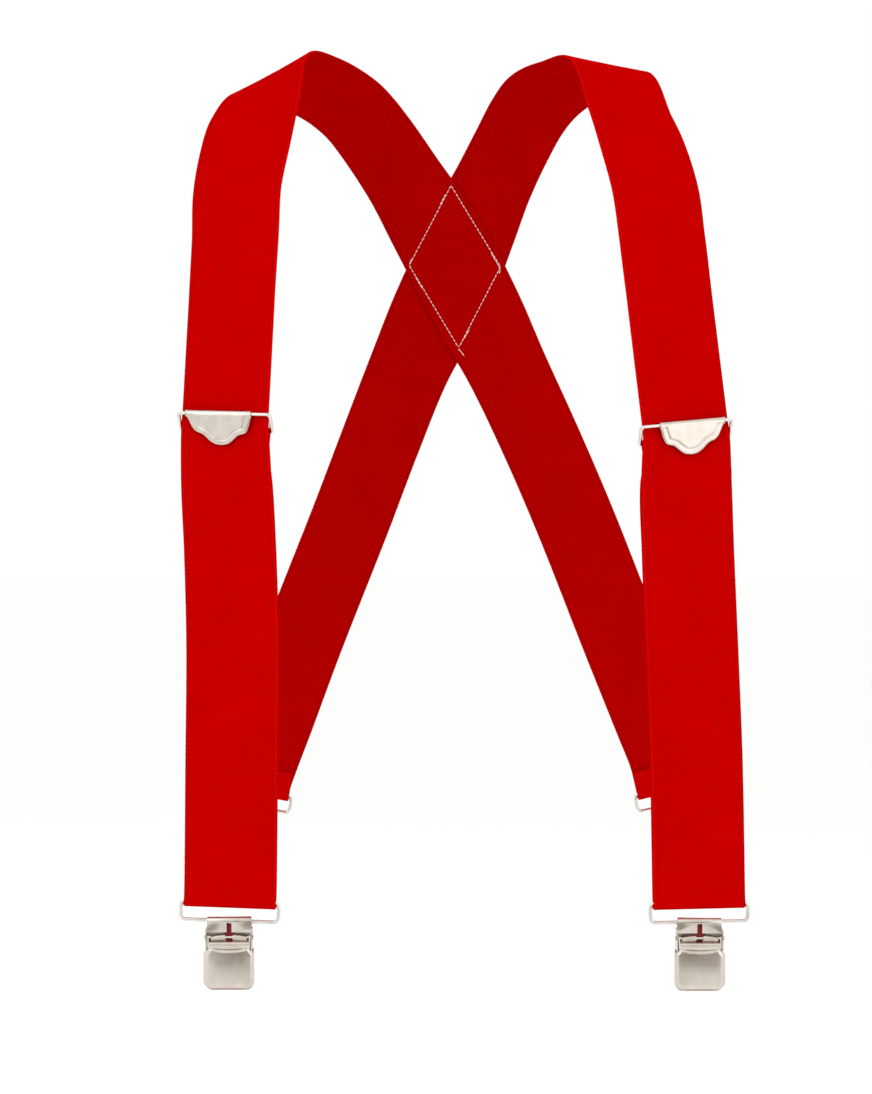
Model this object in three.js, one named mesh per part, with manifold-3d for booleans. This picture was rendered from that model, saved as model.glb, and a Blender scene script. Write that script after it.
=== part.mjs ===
// Suspenders with four lever clips, worn shape. Units are millimetres, +Z is up and the front faces -Y.
// The origin lies midway between the two shoulder seats. Left is -X.
import * as THREE from 'three';
import Module from 'manifold-3d';

const wasm = await Module();
wasm.setup();

// ---- driving dimensions ----
const STRAP_W = 50.8;        // two-inch webbing
const STRAP_T = 1.6;
const FOLD_DROP = 465.4;     // the front fold lies this far below the origin
const ADJUSTER_DROP = 200;   // and the adjusters this far, but for their own offsets
const LEFT_RAISED = 1.7;
const RIGHT_LOWERED = 3.5;
const CROSS_DROP = 95.5;     // centre of the cross
const CROSS_BACK = 100;      // depth of the cross behind the origin
const CROSS_GAP = 0.3;       // air between the two straps at the cross
const TAIL_FROM = 158;       // the back tails start this far below the origin
const WIRE_R = 1.1;          // clip loops
const LOOP_HALF_W = STRAP_W / 2 + WIRE_R - 0.1;  // to the wire's axis
const LOOP_END = 2.2;        // sideways radius of the loop's corners
const LOOP_CORNER = 3.5;     // and their radius along the webbing
const LOOP_DROP = 10.3;       // from the upper bar's axis to the lower one's
const FOLD_R = WIRE_R + 0.65;         // inside radius of the webbing's fold round a loop
const ADJ_WIRE_R = 1.0;      // adjuster frame
const ADJ_HALF_W = STRAP_W / 2 + 0.3;
const ADJ_CORNER_R = 2;
const ADJ_FRONT_Y = -2.3 - STRAP_T / 2;  // front bar, measured from the middle of the webbing
const ADJ_FOLD_R = ADJ_WIRE_R + 0.35;    // inside radius of the hem round the rear bar
const ADJ_REAR_Y = 1.5 * STRAP_T + 0.3 + ADJ_FOLD_R;
const ADJ_REAR_Z = -9;
const PLATE_HALF_W = 18.5;   // adjuster lever
const PLATE_DROP = 17;
const PLATE_T = 0.9;
const ROLL_R = 1.85;
const ROLL_BORE = 1.15;
const HEM_LEN = 14;
const HEM_SEAM = 8.5;        // stitch row above a back fold
const SEAM_GAP = 1.1;        // where a run of webbing is parted, at the adjusters and below the cross
const SHEET_T = 0.8;         // pressed steel of the clips
const TAB_HALF_W = 11.9;
const SLOT_HALF_W = 1.35;
const CURL_R = WIRE_R + 0.5; // inside radius of the fingers
const FINGER_DROP = 5.9;
const JAW_HALF_W = 13.2;     // rear jaw, hidden by the lever
const CLIP_DROP = 37.5;
const CORNER_R = 4;
const EAR_TOP = -3.5;
const EAR_FOOT = -15;
const EAR_FRONT = -4.2;
const LEVER_HALF_W = 13.6;    // face below the ears
const LEVER_NECK_W = 11.4;    // half width between the ears
const LEVER_STEP = -15.7;
const LEVER_FOOT = -CLIP_DROP + 1;
const ARM_T = 0.8;
const ARM_R = 1.45;          // round ends of the lever's arms
const SIDE_GAP = 0.3;        // lever arms to ears
const PIN_Y = -2.6;
const PIN_Z = -8.5;
const PIN_R = 0.7;
const PIN_BORE = PIN_R + 0.25;
const PIN_HEAD_R = PIN_R + 0.45;
const CAM_R = 1.7;
const CAM_Y = -3.9;
const CAM_Z = -12.9;
const PAD_T = 0.6;
const PAD_HALF_W = 8;
const PAD_SKIN = 0.1;        // air between a pad and its plate
const JAW_GAP = 0.8;         // between the two pads, for cloth

const UNDER = CROSS_BACK + STRAP_T + CROSS_GAP;  // depth of the right strap, under the left one at the cross
const CAD_STEPS = 3;         // rings per station on the webbing

// ---- routes ----
// Each station: x, y, z, turn about the vertical, slope of the cross line (degrees), share of the webbing's width.
// A positive turn sets the inner edge forward; a positive slope lifts it.
const OVER_LEFT = [
  [-126.4, -97.9, -ADJUSTER_DROP + LEFT_RAISED, 12, 0, 0.96],
  [-124.5, -94.9, -158, 12, 0, 0.96],
  [-123.1, -92.7, -128, 12, 0, 0.96],
  [-121.7, -90.6, -100, 12, 0, 0.97],
  [-121.5, -81, -74, 12, 1, 0.99],
  [-118, -66, -47, 10, 5, 1.02],
  [-114.5, -47, -25, 11, 10, 1.03],
  [-107, 0, 6, 20, 24, 1],
  [-88, 38, 8, 28, 30, 0.98],
  [-71, 64, 3, 32, 33, 0.96],
  [-60, 82, -4, 28, 34, 0.96],
  [-47, 95, -19, 13, 34, 0.96],
  [-32, 99, -41, 4, 33, 0.98],
  [-16, CROSS_BACK, -67, 0, 32, 1.07],
  [0, CROSS_BACK, -CROSS_DROP, 0, 30, 1.11],
  [16.5, CROSS_BACK, -127, 0, 28.5, 1.08],
  [32, CROSS_BACK, -TAIL_FROM, 0, 27, 1],
];
const TAIL_LEFT = [
  [53, 100, -203, 0, 24, 0.98],
  [74.5, 100, -253, 0, 23, 0.98],
  [104, 99, -328, 0, 22, 0.98],
  [124, 98, -378, 0, 20, 0.98],
  [132.5, 98, -400, 0, 16, 0.97],
];
const TAIL_LEFT_END = [138, 97, -422.5, 0, 13, 0.97];
const OVER_RIGHT = [
  [122.4, -98.3, -ADJUSTER_DROP - RIGHT_LOWERED, 12, 2, 0.96],
  [117.2, -94.9, -158, 12, 2, 0.96],
  [113.8, -92.7, -128, 12, 2, 0.96],
  [110.6, -90.6, -100, 12, 2, 0.97],
  [108, -81, -74, 12, 2, 0.99],
  [102.3, -66, -47, 10, 4, 0.99],
  [96.9, -47, -25, 10, 7, 0.98],
  [88, 0, 11, 20, 6, 1],
  [70, 38, 11, 30, 17, 0.98],
  [53, 64, 5, 33, 29, 0.97],
  [44, 82, -4, 28, 33, 0.96],
  [35, UNDER - 3.9, -19, 15, 32, 0.96],
  [24, UNDER + 0.1, -41, 4, 30, 0.98],
  [12, UNDER, -67, 0, 30, 1.07],
  [0, UNDER, -CROSS_DROP, 0, 28, 1.11],
  [-15, UNDER, -127, 0, 27, 1.08],
  [-29.3, UNDER, -TAIL_FROM, 0, 26, 1],
];
const TAIL_RIGHT = [
  [-47, 100, -203, 0, 23, 0.98],
  [-66, 100, -253, 0, 22, 0.98],
  [-95.5, 99, -328, 0, 21, 0.98],
  [-114, 98, -378, 0, 18, 0.98],
  [-122.5, 98, -401, 0, 14, 0.97],
];
const TAIL_RIGHT_END = [-129, 97, -424.5, 0, 10, 0.97];
// Height just below the hem that ends at an adjuster, and at a share of the way from there to the front fold.
const UNDER_HEM = -ADJUSTER_DROP + ADJ_REAR_Z - HEM_LEN - 12;
const below = (share) => UNDER_HEM - share * (FOLD_DROP + UNDER_HEM);
const LOWER_LEFT = [
  [-125.7, -100.2, UNDER_HEM, 6, 0, 0.98],
  [-123.8, -100, below(0.165), 2, 0, 0.98],
  [-122.5, -100, below(0.38), 0, 0, 0.98],
  [-123, -100, below(0.66), 0, -1, 0.98],
];
const LOWER_LEFT_END = [-124, -100, -FOLD_DROP, 0, -2.2, 0.98];
const LOWER_RIGHT = [
  [123, -100.2, UNDER_HEM, 6, 0, 0.98],
  [124, -100, below(0.165), 2, 0, 0.98],
  [126, -100, below(0.38), 0, 0, 0.98],
  [128.5, -100, below(0.66), 0, -0.5, 0.98],
];
const LOWER_RIGHT_END = [130, -100, -FOLD_DROP - 0.6, 0, -1.4, 0.98];
const PLATE_SHIFT = 3;       // the adjuster levers sit this far outboard

// ---- webbing ----
const rad = THREE.MathUtils.degToRad;
const vec = (x, y, z) => new THREE.Vector3(x, y, z);

// Smooth curve through the stations, spaced by the square root of their distance; every column is carried along.
function through(stations, steps) {
  const last = stations.length - 1;
  const at = (i) => {
    if (i < 0) return stations[0].map((v, c) => 2 * v - stations[1][c]);
    if (i > last) return stations[last].map((v, c) => 2 * v - stations[last - 1][c]);
    return stations[i];
  };
  const gap = (a, b) => Math.sqrt(Math.hypot(a[0] - b[0], a[1] - b[1], a[2] - b[2])) || 1e-6;
  const out = [];
  for (let i = 0; i < last; i += 1) {
    const [p0, p1, p2, p3] = [at(i - 1), at(i), at(i + 1), at(i + 2)];
    const [d0, d1, d2] = [gap(p0, p1), gap(p1, p2), gap(p2, p3)];
    for (let k = 0; k < steps; k += 1) {
      const t = k / steps;
      out.push(p1.map((v, c) => {
        const m1 = d1 * ((p1[c] - p0[c]) / d0 - (p2[c] - p0[c]) / (d0 + d1) + (p2[c] - p1[c]) / d1);
        const m2 = d1 * ((p2[c] - p1[c]) / d1 - (p3[c] - p1[c]) / (d1 + d2) + (p3[c] - p2[c]) / d2);
        return v + m1 * t + (3 * (p2[c] - v) - 2 * m1 - m2) * t * t + (2 * (v - p2[c]) + m1 + m2) * t ** 3;
      }));
    }
  }
  out.push(stations[last]);
  return out;
}

// The cross line of a station, from the outer edge to the inner one; side is +1 for the left strap.
function crossLine(row, side) {
  const [turn, slope] = [rad(row[3]), rad(row[4])];
  return vec(side * Math.cos(turn) * Math.cos(slope), -Math.sin(turn) * Math.cos(slope), Math.sin(slope));
}

// Turns a closed mesh so that its faces point out.
function outward(position, index) {
  let volume = 0;
  const corner = (k) => vec(...position.slice(3 * index[k], 3 * index[k] + 3));
  for (let k = 0; k < index.length; k += 3) {
    volume += corner(k).dot(corner(k + 1).cross(corner(k + 2)));
  }
  const geometry = new THREE.BufferGeometry();
  geometry.setAttribute('position', new THREE.Float32BufferAttribute(position, 3));
  geometry.setIndex(volume < 0 ? index.slice().reverse() : index);
  return geometry;
}

// Closed band through the rows, square in section. It starts at row `from`, set ahead by `lead`, and ends at row `to`.
function band(rows, side, from = 0, to = rows.length - 1, lead = 0) {
  const mid = rows.map((r) => vec(r[0], r[1], r[2]));
  const position = [];
  rows.forEach((row, i) => {
    if (i < from || i > to) return;
    const ahead = mid[Math.min(i + 1, mid.length - 1)];
    const along = ahead.clone().sub(mid[Math.max(i - 1, 0)]).normalize();
    const across = crossLine(row, side);
    across.addScaledVector(along, -across.dot(along)).normalize();
    const out = across.clone().cross(along).multiplyScalar(side);
    for (const [a, o] of [[-1, 1], [1, 1], [1, -1], [-1, -1]]) {
      const p = mid[i].clone().addScaledVector(along, i === from ? lead : 0);
      p.addScaledVector(across, a * 0.5 * STRAP_W * row[5]).addScaledVector(out, o * 0.5 * STRAP_T);
      position.push(p.x, p.y, p.z);
    }
  });
  const index = [];
  const quad = (a, b, c, d) => index.push(a, b, c, a, c, d);
  for (let i = 0; i < to - from; i += 1) {
    for (let k = 0; k < 4; k += 1) {
      const n = (k + 1) % 4;
      quad(4 * i + k, 4 * i + n, 4 * i + 4 + n, 4 * i + 4 + k);
    }
  }
  const e = 4 * (to - from);
  quad(3, 2, 1, 0);
  quad(e, e + 1, e + 2, e + 3);
  return outward(position, index);
}

// Direction down the webbing at a fold, square to its cross line.
const downFrom = (end, side) => vec(side * Math.sin(rad(end[4])), 0, -Math.cos(rad(end[4])));

// A station moved by a vector.
const moved = (row, v) => [row[0] + v.x, row[1] + v.y, row[2] + v.z, ...row.slice(3)];

// Two stations that bring the webbing straight down to the height of the bar in its fold.
function toBar(end, side) {
  const down = downFrom(end, side);
  const at = moved(end, down.clone().multiplyScalar(-FOLD_R - STRAP_T));
  return [moved(at, down.clone().multiplyScalar(-6)), at];
}

// Half turn of the webbing round a bar that lies behind (+1) or before (-1) the outer layer.
function halfTurn(at, depth, side) {
  const down = downFrom(at, side);
  const radius = FOLD_R + STRAP_T / 2;
  const rows = [];
  for (let k = 1; k <= 6; k += 1) {
    const a = (Math.PI * k) / 6;
    const step = down.clone().multiplyScalar(radius * Math.sin(a));
    rows.push(moved(at, step.add(vec(0, depth * radius * (1 - Math.cos(a)), 0))));
  }
  return rows;
}

// ---- steel and plastic ----
// Closed wire through points that lie in one plane with the given normal.
function ring(points, radius, normal, sides = 8) {
  const position = [];
  const index = [];
  const n = points.length;
  points.forEach((p, i) => {
    const along = points[(i + 1) % n].clone().sub(points[(i + n - 1) % n]).normalize();
    const out = along.clone().cross(normal);
    for (let k = 0; k < sides; k += 1) {
      const a = (2 * Math.PI * k) / sides;
      const q = p.clone().addScaledVector(out, radius * Math.cos(a)).addScaledVector(normal, radius * Math.sin(a));
      position.push(q.x, q.y, q.z);
    }
  });
  for (let i = 0; i < n; i += 1) {
    for (let k = 0; k < sides; k += 1) {
      const [a, b] = [sides * i + k, sides * i + ((k + 1) % sides)];
      const [c, d] = [sides * ((i + 1) % n) + ((k + 1) % sides), sides * ((i + 1) % n) + k];
      index.push(a, b, c, a, c, d);
    }
  }
  return outward(position, index);
}

// Rounded rectangle of points: half width along X, from v = 0 to v = height, ends rounded by rx by rv.
function racetrack(halfWidth, height, rx, rv, place) {
  const points = [];
  const corners = [[1, 0, -90], [1, 1, 0], [-1, 1, 90], [-1, 0, 180]];
  for (const [sx, top, from] of corners) {
    const cx = sx * (halfWidth - rx);
    const cv = top ? height - rv : rv;
    for (let k = 0; k <= 4; k += 1) {
      const a = rad(from + 22.5 * k);
      points.push(place(cx + rx * Math.cos(a), cv + rv * Math.sin(a)));
    }
  }
  return points.filter((p, i) => p.distanceTo(points[(i + 1) % points.length]) > 0.01);
}

function toManifold(geometry) {
  const soup = geometry.index ? geometry.toNonIndexed() : geometry;
  const array = soup.attributes.position.array;
  const seen = new Map();
  const vertProperties = [];
  const triVerts = [];
  for (let i = 0; i < array.length; i += 3) {
    const p = [array[i], array[i + 1], array[i + 2]];
    const key = p.map((v) => Math.round(v * 1e4)).join();
    if (!seen.has(key)) {
      seen.set(key, vertProperties.length / 3);
      vertProperties.push(...p);
    }
    triVerts.push(seen.get(key));
  }
  const mesh = new wasm.Mesh({
    numProp: 3,
    vertProperties: new Float32Array(vertProperties),
    triVerts: new Uint32Array(triVerts),
  });
  return new wasm.Manifold(mesh);
}

function fromManifold(solid) {
  const mesh = solid.getMesh();
  const geometry = new THREE.BufferGeometry();
  geometry.setAttribute('position', new THREE.Float32BufferAttribute(mesh.vertProperties, 3));
  geometry.setIndex(Array.from(mesh.triVerts));
  return geometry;
}

const box = (x0, x1, y0, y1, z0, z1) => {
  const g = new THREE.BoxGeometry(x1 - x0, y1 - y0, z1 - z0);
  return toManifold(g.translate((x0 + x1) / 2, (y0 + y1) / 2, (z0 + z1) / 2));
};

// Rod along X.
const rod = (radius, x0, x1, y, z, sides = 20) => {
  const g = new THREE.CylinderGeometry(radius, radius, x1 - x0, sides).rotateZ(Math.PI / 2);
  return toManifold(g.translate((x0 + x1) / 2, y, z));
};

// Plate from an outline in X and Z, between two depths; a bevel rounds the edge of its front.
function plate(outline, y0, y1, bevel) {
  const shape = new THREE.Shape(outline.map(([x, z]) => new THREE.Vector2(x, z)));
  const edge = bevel || 0;
  const g = new THREE.ExtrudeGeometry(shape, {
    depth: y1 - y0 - edge,
    bevelEnabled: edge > 0,
    bevelThickness: edge,
    bevelSize: edge * 1.6,
    bevelOffset: -edge * 1.6,
    bevelSegments: 3,
    curveSegments: 6,
  });
  g.rotateX(Math.PI / 2);
  const solid = toManifold(g.translate(0, y1, 0));
  return edge > 0 ? solid.subtract(box(-99, 99, y1, y1 + 9, -99, 99)) : solid;
}

// Outline of a jaw: square shoulders at the top, round corners at the foot.
function jawOutline(half, top, foot, corner) {
  const points = [[half, top], [half, foot + corner]];
  for (let k = 1; k < 5; k += 1) {
    const a = rad(22.5 * k);
    points.push([half - corner * (1 - Math.cos(a)), foot + corner * (1 - Math.sin(a))]);
  }
  points.push([half - corner, foot]);
  return [...points.map(([x, z]) => [-x, z]), ...points.slice().reverse()];
}

// Scalloped outline of the adjuster's lever: a wide middle lobe between two shoulders.
function scallop(inset) {
  const w = PLATE_HALF_W - inset;
  const d = PLATE_DROP - inset;
  const half = [
    [1, 0.06], [0.94, 0.27], [0.86, 0.47], [0.76, 0.6], [0.63, 0.665], [0.54, 0.69], [0.48, 0.74], [0.36, 0.855],
    [0.22, 0.95], [0.1, 0.99],
  ];
  const right = half.map(([a, b]) => [a * w, -b * d]);
  return [...right.map(([x, z]) => [-x, z]), [0, -d], ...right.slice().reverse()];
}

const group = new THREE.Group();
group.name = 'suspenders';

const look = {
  webbing: ['#c40404', 0.9, 0],
  thread: ['#f2eeea', 0.8, 0],
  wire: ['#dcd8d2', 0.25, 1],
  nickel: ['#cdc4ba', 0.35, 1],
  pad: ['#8e1414', 0.5, 0],
};

function add(name, geometry, kind, matrix) {
  const [color, roughness, metalness] = look[kind];
  const g = geometry.isBufferGeometry ? geometry : fromManifold(geometry);
  if (matrix) g.applyMatrix4(matrix);
  g.computeVertexNormals();
  const mesh = new THREE.Mesh(g, new THREE.MeshStandardMaterial({ color, roughness, metalness }));
  mesh.name = name;
  group.add(mesh);
}

// Matrix whose axes are X along the bar, Z up the webbing and Y backwards.
function axes(origin, x, z) {
  const y = z.clone().cross(x).normalize();
  return new THREE.Matrix4().makeBasis(x, y, x.clone().cross(y).normalize()).setPosition(origin);
}

// ---- adjusters ----
function adjuster(name, row, next, side) {
  const up = vec(next[0] - row[0], next[1] - row[1], next[2] - row[2]).normalize();
  const x = crossLine(row, side).multiplyScalar(side);
  x.addScaledVector(up, -x.dot(up)).normalize();
  const matrix = axes(vec(row[0], row[1], row[2]), x, up);
  const back = vec(0, ADJ_REAR_Y - ADJ_FRONT_Y, ADJ_REAR_Z);
  const deep = back.length();
  back.normalize();
  const points = racetrack(ADJ_HALF_W, deep, ADJ_CORNER_R, ADJ_CORNER_R, (u, v) => {
    return vec(u, ADJ_FRONT_Y, 0).addScaledVector(back, v);
  });
  const normal = vec(1, 0, 0).cross(back).normalize();
  add(`${name}_frame`, ring(points, ADJ_WIRE_R, normal), 'wire', matrix);
  const shift = -side * PLATE_SHIFT;
  const lean = 0.1;
  const shear = new THREE.Matrix4().set(1, 0, 0, shift, 0, 1, -lean, 0, 0, 0, 1, 0, 0, 0, 0, 1);
  const y0 = ADJ_FRONT_Y - ROLL_R + 0.25;
  const face = fromManifold(plate(scallop(0), y0, y0 + PLATE_T)).applyMatrix4(shear);
  const panel = fromManifold(plate(scallop(2.7), y0 - 0.35, y0 + 0.4)).applyMatrix4(shear);
  const roll = rod(ROLL_R, shift - PLATE_HALF_W, shift + PLATE_HALF_W, ADJ_FRONT_Y, 0, 24);
  const bore = rod(ROLL_BORE, shift - 30, shift + 30, ADJ_FRONT_Y, 0, 24);
  add(`${name}_lever`, toManifold(face).add(toManifold(panel)).add(roll).subtract(bore), 'nickel', matrix);
  return matrix;
}

// ---- clips ----
function clip(name, matrix) {
  const [inner, outer] = [CURL_R, CURL_R + SHEET_T];
  const curl = rod(outer, -TAB_HALF_W, TAB_HALF_W, 0, 0, 28);
  const tab = curl.add(box(-TAB_HALF_W, TAB_HALF_W, inner, outer, EAR_TOP - 4, 0))
    .add(box(-TAB_HALF_W, TAB_HALF_W, -outer, -inner, -FINGER_DROP, 0))
    .subtract(rod(inner, -20, 20, 0, 0, 28))
    .subtract(box(-20, 20, -inner, inner, -FINGER_DROP - 1, 0))
    .subtract(box(-SLOT_HALF_W, SLOT_HALF_W, -4, 0, -FINGER_DROP - 2, -0.8));
  const earX = TAB_HALF_W + SHEET_T;
  const jaw = plate(jawOutline(JAW_HALF_W, EAR_FOOT, -CLIP_DROP, CORNER_R), inner - 1.4, outer)
    .subtract(plate(jawOutline(JAW_HALF_W - SHEET_T, EAR_FOOT + 2, -CLIP_DROP + SHEET_T, CORNER_R - 0.6), -2, inner));
  const web = box(-earX, earX, inner, outer, EAR_FOOT - 1, -FINGER_DROP + 2);
  let back = tab.add(jaw).add(web);
  for (const s of [-1, 1]) {
    const [a, b] = [s * TAB_HALF_W, s * earX].sort((p, q) => p - q);
    back = back.add(box(a, b, EAR_FRONT, outer, EAR_FOOT, EAR_TOP));
  }
  back = back.subtract(rod(PIN_BORE, -20, 20, PIN_Y, PIN_Z));
  add(`${name}_back_plate`, back, 'nickel', matrix);

  const head = earX + 0.15;
  const pin = rod(PIN_R, -head - 0.2, head + 0.2, PIN_Y, PIN_Z, 16)
    .add(rod(PIN_HEAD_R, -head - 0.6, -head, PIN_Y, PIN_Z, 16))
    .add(rod(PIN_HEAD_R, head, head + 0.6, PIN_Y, PIN_Z, 16));
  add(`${name}_pin`, pin, 'nickel', matrix);

  const armX = TAB_HALF_W - SIDE_GAP;
  let lever = plate(jawOutline(LEVER_HALF_W, LEVER_STEP, LEVER_FOOT, CORNER_R), -4.9, -2.1, 1.2)
    .add(box(-LEVER_NECK_W, LEVER_NECK_W, -4.4, -2.6, LEVER_STEP - 2, CAM_Z))
    .add(rod(CAM_R, -LEVER_NECK_W + 0.4, LEVER_NECK_W - 0.4, CAM_Y, CAM_Z, 20));
  for (const s of [-1, 1]) {
    const [a, b] = [s * armX, s * (armX - ARM_T)].sort((p, q) => p - q);
    lever = lever.add(box(a, b, PIN_Y - ARM_R, PIN_Y + 0.7, CAM_Z - 1.5, PIN_Z)).add(rod(ARM_R, a, b, PIN_Y, PIN_Z, 16));
  }
  lever = lever.subtract(rod(PIN_BORE, -20, 20, PIN_Y, PIN_Z, 16));
  add(`${name}_lever`, lever, 'nickel', matrix);

  const padBack = inner - PAD_SKIN - PAD_T;
  const jawFace = padBack - JAW_GAP - PAD_T - PAD_SKIN;
  const arch = [];
  for (let k = 0; k <= 8; k += 1) {
    const a = rad(180 - 22.5 * k);
    arch.push([10 * Math.cos(a), -10.6 + 2.9 * Math.sin(a)]);
  }
  const lower = jawOutline(TAB_HALF_W - 2 * SIDE_GAP, -14, -CLIP_DROP + 1.2, CORNER_R - 1);
  const sheet = plate([...lower.slice(0, lower.length / 2).reverse(), ...arch, ...lower.slice(lower.length / 2).reverse()]
    .reverse(), jawFace - SHEET_T, jawFace);
  add(`${name}_jaw`, sheet.subtract(box(-1.7, 1.7, -9, 3, -12.5, -5)), 'nickel', matrix);

  const foot = -CLIP_DROP + 0.95;
  const tongue = box(-3, 3, padBack, padBack + PAD_T, -15, -1.9);
  const rear = plate(jawOutline(PAD_HALF_W, -14, foot, 1), padBack, padBack + PAD_T).add(tongue);
  add(`${name}_back_pad`, rear, 'pad', matrix);
  const front = plate(jawOutline(PAD_HALF_W, -14, foot - 0.5, 1), jawFace + PAD_SKIN, jawFace + PAD_SKIN + PAD_T);
  add(`${name}_jaw_pad`, front, 'pad', matrix);
}

// Loop and clip under a fold; depth is +1 where the bar lies behind the outer layer, facing is +1 for a front clip.
function hang(name, end, side, depth) {
  const down = downFrom(end, side);
  const bar = vec(...toBar(end, side)[1]).add(vec(0, depth * (FOLD_R + STRAP_T / 2), 0));
  const x = down.clone().cross(vec(0, 1, 0)).negate();
  const points = racetrack(LOOP_HALF_W, LOOP_DROP, LOOP_END, LOOP_CORNER, (u, v) => {
    return bar.clone().addScaledVector(x, u).addScaledVector(down, v);
  });
  add(`${name}_loop`, ring(points, WIRE_R, vec(0, 1, 0)), 'wire');
  const low = bar.clone().addScaledVector(down, LOOP_DROP);
  const hung = Math.abs(end[4]) < 5 ? vec(0, 0, 1) : down.clone().negate();
  const matrix = axes(low, vec(0, depth, 0).cross(hung), hung);
  clip(name, matrix);
}

// Row of stitches along the width, as one thread.
function stitchRow(name, row, side, y, z) {
  const x = crossLine(row, side).multiplyScalar(side);
  const matrix = axes(vec(row[0], y, z), x, vec(0, 1, 0).cross(x).negate());
  const half = 0.5 * STRAP_W * row[5] - 2.5;
  add(name, box(-half, half, -0.15, 0.15, -0.35, 0.35), 'thread', matrix);
}

// ---- assembly ----
function front(name, side, over, lower, end) {
  const matrix = adjuster(`${name}_adjuster`, over[0], over[1], side);
  const bar = vec(side, 0, 0).transformDirection(matrix);
  const slope = Math.asin(bar.z);
  const lay = [-Math.asin(bar.y / Math.cos(slope)), slope].map(THREE.MathUtils.radToDeg);
  const top = vec(0, 0, -SEAM_GAP).applyMatrix4(matrix);
  const next = vec(0, 0, -SEAM_GAP - 5).applyMatrix4(matrix);
  const first = [[top.x, top.y, top.z, ...lay, 0.96], [next.x, next.y, next.z, ...lay, 0.97]];
  const radius = FOLD_R + STRAP_T / 2;
  const bottom = toBar(end, side);
  const outer = through([...first, ...lower, ...bottom], CAD_STEPS);
  const turn = halfTurn(bottom[1], 1, side);
  const at = (y, z) => vec(0, y, z).applyMatrix4(matrix);
  const rearY = ADJ_REAR_Y + ADJ_FOLD_R + STRAP_T / 2;
  const hemY = ADJ_REAR_Y - ADJ_FOLD_R - STRAP_T / 2;
  const lap = hemY + STRAP_T + 0.3;
  const inner = [turn.pop(), moved(bottom[0], vec(0, 2 * radius, 0)), ...lower.slice().reverse().map((r, i) => {
    return [r[0], r[1] + (i === lower.length - 1 ? lap + 0.3 : 2 * radius), r[2], r[3], r[4], r[5]];
  })];
  const rear = at(rearY, ADJ_REAR_Z);
  const hemFoot = at(lap + 0.1, ADJ_REAR_Z - HEM_LEN - 2);
  inner.push([hemFoot.x, hemFoot.y, hemFoot.z, ...lay, 0.97]);
  inner.push([rear.x, rear.y, rear.z, ...lay, 0.95]);
  const hem = [];
  for (let k = 1; k <= 6; k += 1) {
    const a = (Math.PI * k) / 6;
    const r = ADJ_FOLD_R + STRAP_T / 2;
    const p = at(ADJ_REAR_Y + r * Math.cos(a), ADJ_REAR_Z + r * Math.sin(a));
    hem.push([p.x, p.y, p.z, ...lay, 0.95]);
  }
  const tip = at(hemY, ADJ_REAR_Z - HEM_LEN);
  hem.push([tip.x, tip.y, tip.z, ...lay, 0.95]);
  add(`${name}_lower_webbing`, band([...outer, ...turn, ...through(inner, CAD_STEPS), ...hem], side), 'webbing');
  const seam = at(lap + STRAP_T / 2 + 1.75, ADJ_REAR_Z - HEM_LEN + 2);
  stitchRow(`${name}_hem_stitches`, [seam.x, 0, 0, ...lay, 0.95], side, seam.y, seam.z);
  hang(`${name}_clip`, end, side, 1);
}

// The strap from an adjuster over the shoulder to the cross, and its tail down to the back clip.
function back(name, shoulder, side, over, tail, end) {
  const radius = FOLD_R + STRAP_T / 2;
  const bottom = toBar(end, side);
  const outer = through([...over, ...tail, ...bottom], CAD_STEPS);
  const seam = CAD_STEPS * (over.length - 1);
  add(shoulder, band(outer, side, 0, seam), 'webbing');
  const turn = halfTurn(bottom[1], -1, side);
  const down = downFrom(end, side);
  const close = vec(0, 2 * radius - STRAP_T - 0.4, 0);
  const tip = moved(turn[turn.length - 1], down.clone().multiplyScalar(-HEM_LEN).add(close));
  add(`${name}_tail_webbing`, band([...outer, ...turn, tip], side, seam, undefined, SEAM_GAP), 'webbing');
  const row = moved(end, down.clone().multiplyScalar(-HEM_SEAM));
  stitchRow(`${name}_hem_stitches`, row, side, end[1] - 2 * radius - 0.2, row[2]);
  hang(`${name}_clip`, end, side, -1);
}

front('left_front', 1, OVER_LEFT, LOWER_LEFT, LOWER_LEFT_END);
front('right_front', -1, OVER_RIGHT, LOWER_RIGHT, LOWER_RIGHT_END);
back('right_back', 'left_shoulder_webbing', 1, OVER_LEFT, TAIL_LEFT, TAIL_LEFT_END);
back('left_back', 'right_shoulder_webbing', -1, OVER_RIGHT, TAIL_RIGHT, TAIL_RIGHT_END);

// Diamond of thread on the inner face of the cross.
const diamond = [[-3, 51.8, 1.6], [12.5, 26.4, 0.1], [28, 1, 0], [1.8, -49.8, 0], [-29.2, 1.9, 0], [-16, 27, 0.3]];
const thread = diamond.map(([x, z, out]) => vec(x, CROSS_BACK - STRAP_T / 2 - 0.5 - out, z - CROSS_DROP));
add('cross_stitches', ring(thread, 0.3, vec(0, -1, 0), 4), 'thread');

export default group;
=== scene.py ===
# %% [markdown]
# # Suspenders with four lever clips
# Two lengths of red elastic webbing run over the shoulders, cross at the back and end in pressed steel
# clips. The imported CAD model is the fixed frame: it says where every piece sits and what moves with what.
# This notebook dresses that frame, piece by piece, in metres, with +Z up and the front facing -Y.

# %% Load the frame
import math

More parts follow.
